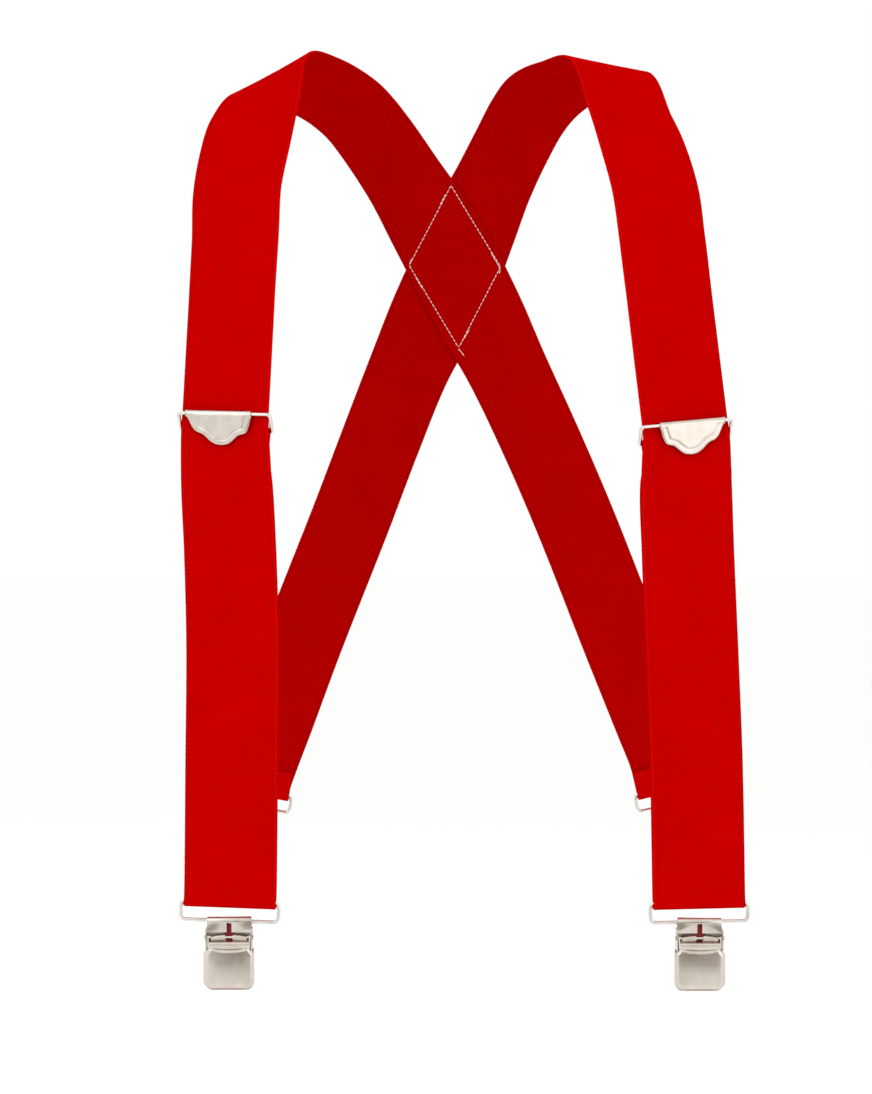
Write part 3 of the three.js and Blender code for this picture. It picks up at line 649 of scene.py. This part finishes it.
thread, thread_tree, thread_shader = material("spun polyester thread, white", {
    "Roughness": 0.7, "Sheen Weight": 0.2, "Sheen Roughness": 0.4})
spot = place(thread_tree, "ShaderNodeTexCoord").outputs["Object"]
twist = place(thread_tree, "ShaderNodeTexWave", {
    "Vector": spot, "Scale": 900.0, "Distortion": 2.0, "Detail": 1.0})
ply = place(thread_tree, "ShaderNodeValToRGB", {"Fac": twist.outputs["Fac"]})
ply.color_ramp.elements[0].color = linear("#e2d8d4")
ply.color_ramp.elements[1].color = linear("#fffdfb")
thread_tree.links.new(ply.outputs["Color"], thread_shader.inputs["Base Color"])


def stitches(name, starts, ends, normals):
    """Arches of thread from each start to each end, standing out along each normal.

    Along an arch the height is a (1 - x^4) - b, flat on top and under the cloth at x = -1 and 1;
    round it the section is a circle of 6 points, drawn in towards the ends."""
    starts, ends, normals = (np.asarray(v, float) for v in (starts, ends, normals))
    way = unit(ends - starts)
    normals = unit(normals - np.einsum("ij,ij->i", normals, way)[:, None] * way)
    side = np.cross(normals, way)
    x = np.linspace(-1, 1, 9)
    a = 2 * np.pi * np.arange(6) / 6
    lift = (0.42 * (1 - x**4) - 0.22) * MM
    thick = THREAD_R * (1 - 0.35 * x**6)
    half = np.linalg.norm(ends - starts, axis=1) / 2
    centre_line = (starts + ends)[:, None] / 2 + x[None, :, None] * half[:, None, None] * way[:, None]
    centre_line = centre_line + lift[None, :, None] * normals[:, None]
    ring = np.cos(a)[:, None, None, None] * side + np.sin(a)[:, None, None, None] * normals
    ring = np.moveaxis(ring[:, :, 0] if ring.ndim == 5 else ring, 0, -2)[0]
    points = centre_line[:, :, None] + thick[None, :, None, None] * ring[:, None]
    faces, _, _ = quads_of(9, 6)
    count, size = len(starts), 54
    every = (faces[None] + size * np.arange(count)[:, None, None]).reshape(-1, 4)
    caps = [range(size * k + e, size * k + e + 6) if e else range(size * k + 5, size * k - 1, -1)
            for k in range(count) for e in (0, 48)]
    return solid(name, points.reshape(-1, 3), every, thread, caps)


def seam(points, pitch=STITCH_PITCH, fill=0.8):
    """Starts and ends of stitches along a polyline: one for each pitch, filling this share of it."""
    points = np.asarray(points, float)
    way = np.concatenate([[0], np.cumsum(np.linalg.norm(np.diff(points, axis=0), axis=1))])
    count = max(1, round(way[-1] / pitch))
    s = np.linspace(0, way[-1], count + 1)[:-1]
    gap = way[-1] / count
    at = lambda v: np.stack([np.interp(v, way, points[:, k]) for k in range(points.shape[1])], 1)
    return at(s + gap * (1 - fill) / 2), at(s + gap * (1 + fill) / 2)


def on_face(rows, side, x, z):
    """Points of the strap's inner face behind each x, z, and the direction out of it."""
    _, across, outer = frame_of(rows, side)
    share = np.linspace(-1, 1, 61)[None, :, None]
    grid = rows[:, None, :3] + share * (0.5 * STRAP_W * rows[:, 5])[:, None, None] * across[:, None]
    grid = grid - outer[:, None] * EDGE_R
    flat = grid.reshape(-1, 3)
    spot = np.hypot(flat[None, :, 0] - np.asarray(x)[:, None], flat[None, :, 2] - np.asarray(z)[:, None])
    best = spot.argmin(1)
    points = np.stack([x, flat[best, 1], z], 1)
    return points, -outer[best // share.shape[1]]


DIAMOND = np.array([(-3, 51.8), (12.5, 26.4), (28, 1), (1.8, -49.8), (-29.2, 1.9), (-16, 27),
                    (-3, 51.8)]) * MM
BACK_TACKS = np.array([
    [(-6.4, 46.3), (-9.7, 39.9)], [(-27.6, 6), (-28.9, 2.6)], [(-25.2, -5.4), (-20.9, -12.6)],
    [(22.1, 9.6), (27.5, .6)], [(27.9, -.6), (27.1, -3.5)], [(8.4, -38.4), (5, -44.2)],
    [(1.6, -50.1), (5.2, -54.7)],
]) * MM
near = long_rows["left"][10 * STEPS:18 * STEPS]
first, last = seam(DIAMOND)
for tack in BACK_TACKS:
    one, two = seam(tack, fill=0.95)
    first, last = np.vstack([first, one]), np.vstack([last, two])
start_points, face_out = on_face(near, 1, first[:, 0], first[:, 1] - CROSS_DROP)
end_points, _ = on_face(near, 1, last[:, 0], last[:, 1] - CROSS_DROP)
cross_seam = stitches("cross_diamond_stitches", start_points, end_points, face_out)
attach(cross_seam, "straps")
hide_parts("cross_stitches")
print("diamond of", len(first), "stitches")

for name, part in SIDES.items():
    row = np.array(part["end"])
    down = down_from(row, part["side"])
    x = cross_line(row, part["side"])
    middle = row[:3] - down * HEM_SEAM
    middle[1] = row[1] - STRAP_T - 0.4 * MM - EDGE_R
    half = 0.5 * STRAP_W * row[5] - 2.5 * MM
    first, last = seam([middle - x * half, middle + x * half])
    hem_seam = stitches(f"{part['back']}_hem_seam", first, last, np.tile([0, -1.0, 0], (len(first), 1)))
    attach(hem_seam, f"{part['back']}_end")
    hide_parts(f"{part['back']}_hem_stitches")
    m = adjusters[name]
    lap = ADJ_REAR_Y - ADJ_FOLD_R - STRAP_T / 2 + STRAP_T + 0.3 * MM
    ends = carried([[-half, lap + EDGE_R + 0.35 * MM, ADJ_REAR_Z - HEM_LEN + 2 * MM],
                    [half, lap + EDGE_R + 0.35 * MM, ADJ_REAR_Z - HEM_LEN + 2 * MM]], m)
    first, last = seam(ends)
    front_seam = stitches(f"{name}_front_hem_seam", first, last, np.tile(m[:3, 1], (len(first), 1)))
    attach(front_seam, f"{name}_adjuster")
    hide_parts(f"{name}_front_hem_stitches")
    print(name, "hem seams of", len(first), "stitches")

# %% [markdown]
# ## Finish: nickel plate
# Clips and adjusters are pressed steel with a satin nickel plate; wires and rolled edges are brighter,
# because polishing reaches them best. Nickel is a warm grey metal. Fine grain in the plate scatters the
# reflections, and handling leaves faint cloudy patches.


# %% Nickel
def nickel(name, dark, light, rough):
    """Plated steel: two close tones in cloudy patches, the roughness with them, a fine grain in the bump."""
    made, tree, shader = material(name, {"Metallic": 1.0})
    spot = place(tree, "ShaderNodeTexCoord").outputs["Object"]
    cloud = place(tree, "ShaderNodeTexNoise", {"Vector": spot, "Scale": 160.0, "Detail": 4.0})
    tone = place(tree, "ShaderNodeValToRGB", {"Fac": cloud.outputs["Fac"]})
    tone.color_ramp.elements[0].position, tone.color_ramp.elements[1].position = 0.35, 0.65
    tone.color_ramp.elements[0].color, tone.color_ramp.elements[1].color = linear(dark), linear(light)
    gloss = place(tree, "ShaderNodeMapRange", {
        "Value": cloud.outputs["Fac"], "To Min": rough * 0.8, "To Max": rough * 1.2})
    grit = place(tree, "ShaderNodeTexNoise", {"Vector": spot, "Scale": 2500.0, "Detail": 2.0})
    bump = place(tree, "ShaderNodeBump", {
        "Strength": 0.15, "Distance": 0.05 * MM, "Height": grit.outputs["Fac"]})
    tree.links.new(tone.outputs["Color"], shader.inputs["Base Color"])
    tree.links.new(gloss.outputs["Result"], shader.inputs["Roughness"])
    tree.links.new(bump.outputs["Normal"], shader.inputs["Normal"])
    return made


satin = nickel("satin nickel plate on pressed steel", "#cfc6bb", "#dcd4ca", 0.24)
bright = nickel("polished nickel plate on steel wire", "#dcd8d2", "#eae6e0", 0.16)

# %% [markdown]
# ## Wire loops and adjuster frames
# Each is one closed ring of round wire, bent round two rounded ends. The centre line is a rounded rectangle
# and a circle is carried along it.


# %% Wires
def racetrack(half_width, height, rx, rv, steps=10):
    """Rounded rectangle from v = 0 to height: quarter ellipses rx by rv joined by straight sides."""
    a = np.radians(np.linspace(0, 90, steps + 1))
    corners = []
    for sx, top, turn in ((1, 0, -90), (1, 1, 0), (-1, 1, 90), (-1, 0, 180)):
        b = a + math.radians(turn)
        corners.append(np.stack([sx * (half_width - rx) + rx * np.cos(b),
                                 (height - rv if top else rv) + rv * np.sin(b)], 1))
    line = np.vstack(corners)
    return line[np.linalg.norm(line - np.roll(line, -1, 0), axis=1) > 1e-6]


def wire(name, line, radius, normal, finish, sides=16):
    """A circle of the wire's radius carried along a closed flat line whose plane has this normal."""
    along = unit(np.roll(line, -1, 0) - np.roll(line, 1, 0))
    out = np.cross(along, normal)
    a = 2 * np.pi * np.arange(sides) / sides
    ring = np.cos(a)[None, :, None] * out[:, None] + np.sin(a)[None, :, None] * np.asarray(normal)
    faces, _, _ = quads_of(len(line), sides, ring_rows=True)
    return solid(name, (line[:, None] + radius * ring).reshape(-1, 3), faces, finish)


WIRE_R = 1.1 * MM
ADJ_WIRE_R = 1.0 * MM
for where, m in loops.items():
    track = racetrack(STRAP_W / 2 + 1 * MM, LOOP_DROP, 2.2 * MM, 3.5 * MM)
    line = carried(np.stack([track[:, 0], 0 * track[:, 0], -track[:, 1]], 1), m)
    ring = wire(f"{where}_loop_wire", line, WIRE_R, m[:3, 1], bright)
    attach(ring, f"{where}_clip_loop")
    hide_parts(f"{where}_clip_loop")
reach = np.array([0, ADJ_REAR_Y - ADJ_FRONT_Y, ADJ_REAR_Z])
for name, m in adjusters.items():
    track = racetrack(STRAP_W / 2 + 0.3 * MM, np.linalg.norm(reach), 2 * MM, 2 * MM)
    flat = track[:, :1] * [1, 0, 0] + track[:, 1:] * unit(reach) + [0, ADJ_FRONT_Y, 0]
    normal = m[:3, :3] @ np.cross([1, 0, 0], unit(reach))
    ring = wire(f"{name}_adjuster_wire", carried(flat, m), ADJ_WIRE_R, normal, bright)
    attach(ring, f"{name}_adjuster")
    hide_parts(f"{name}_front_adjuster_frame")
print(len(loops) + len(adjusters), "wires")

# %% [markdown]
# ## Pressed levers
# The clip's lever and the adjuster's scalloped lever are made the same way: a blank is cut to an outline,
# its face is pressed up, its rim turned in and its top rolled round a bar. So one function makes both:
# columns of points start on the roll, leave it at the crease and run down the face to the outline, and
# the distance to the outline gives the height of the pressing. Solidify then gives the sheet its
# thickness.


# %% Pressed sheet
def rim_distance(x, z, outline):
    """Shortest distance from each point to the outline, measured to its segments."""
    a, b = outline[:-1], outline[1:]
    p = np.stack([x, z], -1)[..., None, :]
    t = np.clip(((p - a) * (b - a)).sum(-1) / ((b - a) ** 2).sum(-1), 0, 1)
    return np.linalg.norm(p - a - t[..., None] * (b - a), axis=-1).min(-1)


def pressed(name, columns, foot, roll, crease, height, outline, thick, m, finish, wrap=300.0, rows=30,
            widen=lambda z: 1 + 0 * z):
    """Sheet rolled at its top and pressed on its face.

    columns are the x of each column and foot its lowest z. roll is (y, z, radius) of its middle surface:
    its arc starts behind the bar and ends at the front, after which the face runs down from crease(x). height
    (x, z, distance to the outline) is the y of the face, and widen(z) the growth of the columns' spread."""
    y0, z0, r = roll
    arc = np.radians(np.linspace(180 - wrap, 180, 20))
    top = np.stack(np.broadcast_arrays(columns[None], (y0 + r * np.cos(arc))[:, None],
                                       (z0 + r * np.sin(arc))[:, None]), -1)
    v = eased(np.linspace(0, 1, rows)[1:])[:, None] * 0.4 + np.linspace(0, 1, rows)[1:, None] * 0.6
    z = crease(columns) + (foot - crease(columns)) * v
    x = columns * widen(z)
    ease = eased((crease(columns) - z) / (1.2 * MM) + 0.15)
    y = (y0 - r) * (1 - ease) + height(x, z, rim_distance(x, z, outline)) * ease
    grid = np.concatenate([top, np.stack([x, y, z], -1)])
    count = grid.shape[1]
    i, j = np.meshgrid(np.arange(len(grid) - 1), np.arange(count - 1), indexing="ij")
    i, j = i.ravel(), j.ravel()
    faces = np.stack([i * count + j, i * count + j + 1, (i + 1) * count + j + 1, (i + 1) * count + j], 1)
    made = solid(name, carried(grid.reshape(-1, 3), m), faces, finish, flip=True)
    shell = made.modifiers.new("sheet", "SOLIDIFY")
    shell.thickness, shell.offset = thick, 0
    shell.use_even_offset = False
    return made


def bevelled(name, node, width, finish, angle=35):
    """Copy of a CAD node, welded, its flat faces joined and its sharp edges rounded."""
    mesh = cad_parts[node].data.copy()
    shape = bmesh.new()
    shape.from_mesh(mesh)
    bmesh.ops.remove_doubles(shape, verts=shape.verts, dist=2e-6)
    bmesh.ops.dissolve_limit(shape, angle_limit=math.radians(1), verts=shape.verts, edges=shape.edges)
    sharp = [e for e in shape.edges if len(e.link_faces) == 2 and e.calc_face_angle(0) > math.radians(angle)]
    bmesh.ops.bevel(shape, geom=sharp, offset=width, segments=2, profile=0.5, affect="EDGES",
                    clamp_overlap=True)
    bmesh.ops.recalc_face_normals(shape, faces=shape.faces)
    shape.to_mesh(mesh)
    shape.free()
    mesh.name = name
    mesh.materials.clear()
    mesh.materials.append(finish)
    mesh.polygons.foreach_set("use_smooth", [True] * len(mesh.polygons))
    mesh.set_sharp_from_angle(angle=math.radians(28))
    made = bpy.data.objects.new(name, mesh)
    scene.collection.objects.link(made)
    return made


print("pressed sheet ready")

# %% [markdown]
# ## Adjuster levers
# A wide middle lobe hangs between two shoulders. The rim is a flat band 2.7 mm wide, then a groove, then a
# slightly raised field. The top is rolled round the frame's front bar.

# %% Adjuster levers
PLATE_HALF_W = 18.5 * MM
PLATE_DROP = 17 * MM
SCALLOP = [  # share of the half width, outer end first, and of the drop
    (-1, .02), (-.95, .07), (-.89, .15), (-.78, .4), (-.7, .52), (-.62, .59), (-.49, .63), (-.38, .7),
    (-.2, .88), (-.05, .97), (.11, 1), (.25, .985), (.33, .96), (.42, .89), (.51, .8), (.59, .71),
    (.67, .66), (.82, .63),
    (.89, .57), (.93, .48), (.96, .2), (1, .04),
]
GROOVE_AT = 2.7 * MM

lobes = np.array(SCALLOP) * [PLATE_HALF_W, -PLATE_DROP]
smooth_x = np.linspace(-1, 1, 61) * PLATE_HALF_W
smooth_z = np.interp(smooth_x, lobes[:, 0], lobes[:, 1])
for _ in range(2):   # a running mean rounds the corners between the lobes and leaves both ends as they are
    smooth_z[1:-1] = (smooth_z[:-2] + 2 * smooth_z[1:-1] + smooth_z[2:]) / 4


def scalloped(x, z, d):
    """Face of the adjuster's lever: leans in by a tenth, rim rounded, groove inside the rim, field raised."""
    rim = 0.3 * MM * (1 - np.sqrt(1 - (1 - np.clip(d / (0.7 * MM), 0, 1)) ** 2))
    groove = 0.16 * MM * np.exp(-((d - GROOVE_AT) / (0.3 * MM)) ** 2)
    field = 0.12 * MM * eased((d - GROOVE_AT) / (1.0 * MM))
    return ADJ_FRONT_Y - 1.5 * MM - 0.1 * z + rim + groove - field


for name, part in SIDES.items():
    shift = np.eye(4)
    shift[0, 3] = -part["side"] * 3 * MM
    foot = smooth_z[::part["side"]]
    scallop_edge = np.vstack([[-PLATE_HALF_W, 2 * MM], np.stack([smooth_x, foot], 1), [PLATE_HALF_W, 2 * MM]])
    lever = pressed(f"{name}_scalloped_lever", smooth_x, foot, (ADJ_FRONT_Y, 0, 1.5 * MM),
                    lambda x: 0 * x - 0.9 * MM, scalloped, scallop_edge, 0.7 * MM,
                    adjusters[name] @ shift, satin, wrap=290)
    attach(lever, f"{name}_adjuster_lever")
    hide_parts(f"{name}_front_adjuster_lever")
    print(lever.name, len(lever.data.polygons), "faces")

# %% [markdown]
# ## Clip levers
# The lever is the clip's front: a pillowed face that widens below the ears, a crease that bows down in the
# middle and a rolled top. Two small arms reach back from the roll to the pin.

# %% Clip levers
LEVER_HALF_W = 13.4 * MM
LEVER_NECK_W = 11.4 * MM
LEVER_STEP = (-14.8 * MM, -17.2 * MM)   # the face widens between these heights
LEVER_FOOT = -35.8 * MM
CORNER_R = 4 * MM
ROLL = (-3.9 * MM, -12.3 * MM, 1.35 * MM)
PIN_Y = -2.6 * MM
PIN_Z = -8.5 * MM
ARM_X = 11.2 * MM         # middle of each arm's plate


def lever_columns(count=31):
    """x of each column and the z of its foot on a rectangle with round bottom corners."""
    a = np.linspace(-1, 1, count)
    x = LEVER_HALF_W * np.sin(a * math.pi / 2 * 0.96) / math.sin(math.pi / 2 * 0.96)
    into = np.clip(np.abs(x) - (LEVER_HALF_W - CORNER_R), 0, CORNER_R)
    return x, LEVER_FOOT + CORNER_R - np.sqrt(np.maximum(CORNER_R**2 - into**2, 0))


def pillow(x, z, d):
    """Face of the clip's lever: rim turned back over 2 mm, a bowed crease, then a crown."""
    rim = 2.0 * MM * (1 - np.sqrt(1 - (1 - np.clip(d / (2.2 * MM), 0, 1)) ** 2))
    bend = -13.7 * MM - 1.2 * MM * (1 - (x / LEVER_NECK_W) ** 2)
    bowed = np.clip(1.2 - (x / LEVER_NECK_W) ** 2, 0, 1)
    crease = 0.9 * MM * np.exp(-((z - bend) / (0.55 * MM)) ** 2) * bowed
    rise = np.sin(np.clip((z - LEVER_FOOT) / (22 * MM), 0, 1) * math.pi)
    crown = 0.7 * MM * (1 - (x / LEVER_HALF_W) ** 2) * rise
    return -5.0 * MM + rim + crease - crown


def widened(z):
    """Growth of the lever's width from its neck to its face, eased between the two heights of the step."""
    share = eased((LEVER_STEP[0] - z) / (LEVER_STEP[0] - LEVER_STEP[1]))
    return 1 + (LEVER_HALF_W / LEVER_NECK_W - 1) * share


def arm(name, x, m, finish):
    """Small plate from the roll back to the pin: a capsule outline, 0.8 mm thick, with rounded edges."""
    a = np.linspace(0, np.pi, 9)
    pin, roll = np.array([PIN_Y, PIN_Z]), np.array([ROLL[0], ROLL[1]])
    way = math.atan2(*(pin - roll)[::-1])
    cap = lambda c, b: c + 1.4 * MM * np.stack([np.cos(b), np.sin(b)], 1)
    line = np.vstack([cap(pin, way - np.pi / 2 + a), cap(roll, way + np.pi / 2 + a)])
    count = len(line)
    points = np.vstack([np.insert(line, 0, x - 0.4 * MM, 1), np.insert(line, 0, x + 0.4 * MM, 1)])
    k = np.arange(count)
    sides = np.stack([k, (k + 1) % count, (k + 1) % count + count, k + count], 1)
    made = solid(name, carried(points, m), sides, finish, [range(count - 1, -1, -1), range(count, 2 * count)],
                 smooth=False)
    edge = made.modifiers.new("edge", "BEVEL")
    edge.width, edge.segments, edge.limit_method = 0.2 * MM, 2, "ANGLE"
    return made


columns, feet = lever_columns()
rise = np.linspace(LEVER_STEP[1], LEVER_STEP[0], 9)
flank = np.stack([LEVER_NECK_W * widened(rise), rise], 1)
top = [LEVER_NECK_W, ROLL[1] + 4 * MM]
lever_edge = np.vstack([[top] * np.array([-1, 1]), flank[::-1] * [-1, 1],
                        np.stack([columns, feet], 1), flank, [top]])
for where, m in clips.items():
    face = pressed(f"{where}_lever_face", columns * LEVER_NECK_W / LEVER_HALF_W, feet, ROLL,
                   lambda x: -13.1 * MM - 0.6 * MM * (1 - (x / LEVER_NECK_W) ** 2), pillow, lever_edge,
                   0.7 * MM, m, satin, wrap=270, widen=widened)
    arms = [arm(f"{where}_lever_arm_{word}", s * ARM_X, m, satin) for s, word in ((-1, "left"), (1, "right"))]
    for piece in (face, *arms):
        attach(piece, f"{where}_clip_lever")
    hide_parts(f"{where}_clip_lever")
print(len(clips), "clip levers")

# %% [markdown]
# ## Knuckles of the jaws
# The top of each inner jaw is wrapped forward over the pin, in two halves beside the slot. That is the arch
# seen between the fingers and the lever's roll. Its side view is a curve given point by point round the pin.

# %% Knuckles
KNUCKLE = np.array([(-1.7, -12.2), (-2.3, -11.2), (-2.9, -10.2), (-3.6, -9.3), (-3.9, -8.5), (-3.6, -7.7),
                    (-2.9, -7.2), (-2.2, -7.1), (-1.7, -7.4)]) * MM
for where, m in clips.items():
    for s, word in ((-1, "left"), (1, "right")):
        x = s * np.linspace(1.9, 9.6, 12) * MM
        sag = 1.0 * MM * (np.abs(x) / (9.6 * MM)) ** 2
        lean = np.clip((KNUCKLE[:, 1] + 12.2 * MM) / (5 * MM), 0, 1)
        height = KNUCKLE[:, 1:] - sag[None] * lean[:, None]
        grid = np.stack(np.broadcast_arrays(x[None], KNUCKLE[:, :1], height), -1)
        i, j = np.meshgrid(np.arange(len(KNUCKLE) - 1), np.arange(len(x) - 1), indexing="ij")
        k = i.ravel() * len(x) + j.ravel()
        faces = np.stack([k, k + 1, k + len(x) + 1, k + len(x)], 1)
        half_knuckle = solid(f"{where}_jaw_knuckle_{word}", carried(grid.reshape(-1, 3), m), faces, satin,
                             flip=s < 0)
        shell = half_knuckle.modifiers.new("sheet", "SOLIDIFY")
        shell.thickness, shell.offset, shell.use_even_offset = 0.5 * MM, 0, False
        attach(half_knuckle, f"{where}_clip_jaw")
print(2 * len(clips), "knuckle halves")

# %% [markdown]
# ## Back plates, jaws, pins and pads
# These have their true shape in the CAD model already, so each is a welded copy with its edges rounded,
# as a press and a tumbling drum leave them. The pads are moulded red plastic.

# %% Pad finish
pad_red, pad_tree, pad_shader = material("moulded red plastic", {"Roughness": 0.42, "IOR": 1.5})
spot = place(pad_tree, "ShaderNodeTexCoord").outputs["Object"]
mottle = place(pad_tree, "ShaderNodeTexNoise", {"Vector": spot, "Scale": 400.0, "Detail": 3.0})
shade = place(pad_tree, "ShaderNodeValToRGB", {"Fac": mottle.outputs["Fac"]})
shade.color_ramp.elements[0].color = linear("#980f0d")
shade.color_ramp.elements[1].color = linear("#b41915")
pad_tree.links.new(shade.outputs["Color"], pad_shader.inputs["Base Color"])
pad_bump = place(pad_tree, "ShaderNodeBump", {
    "Strength": 0.2, "Distance": 0.05 * MM, "Height": mottle.outputs["Fac"]})
pad_tree.links.new(pad_bump.outputs["Normal"], pad_shader.inputs["Normal"])

# %% Rounded copies
PRESSED_PARTS = {  # what each copy is: its body, bevel in millimetres, finish and slot
    "back_plate": ("", 0.22, satin, "nickel"), "pin": ("", 0.15, bright, "nickel"),
    "back_pad": ("", 0.12, pad_red, "pad"), "jaw": ("_jaw", 0.18, satin, "nickel"),
    "jaw_pad": ("_jaw", 0.12, pad_red, "pad"),
}
for where in clips:
    for part_name, (body, width, finish, kind) in PRESSED_PARTS.items():
        node = f"{where}_clip_{part_name}"
        copy = bevelled(f"{where}_finished_{part_name}", node, width * MM, finish)
        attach(copy, f"{where}_clip{body}")
        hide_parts(node)
print("rounded copies:", len(clips) * len(PRESSED_PARTS))
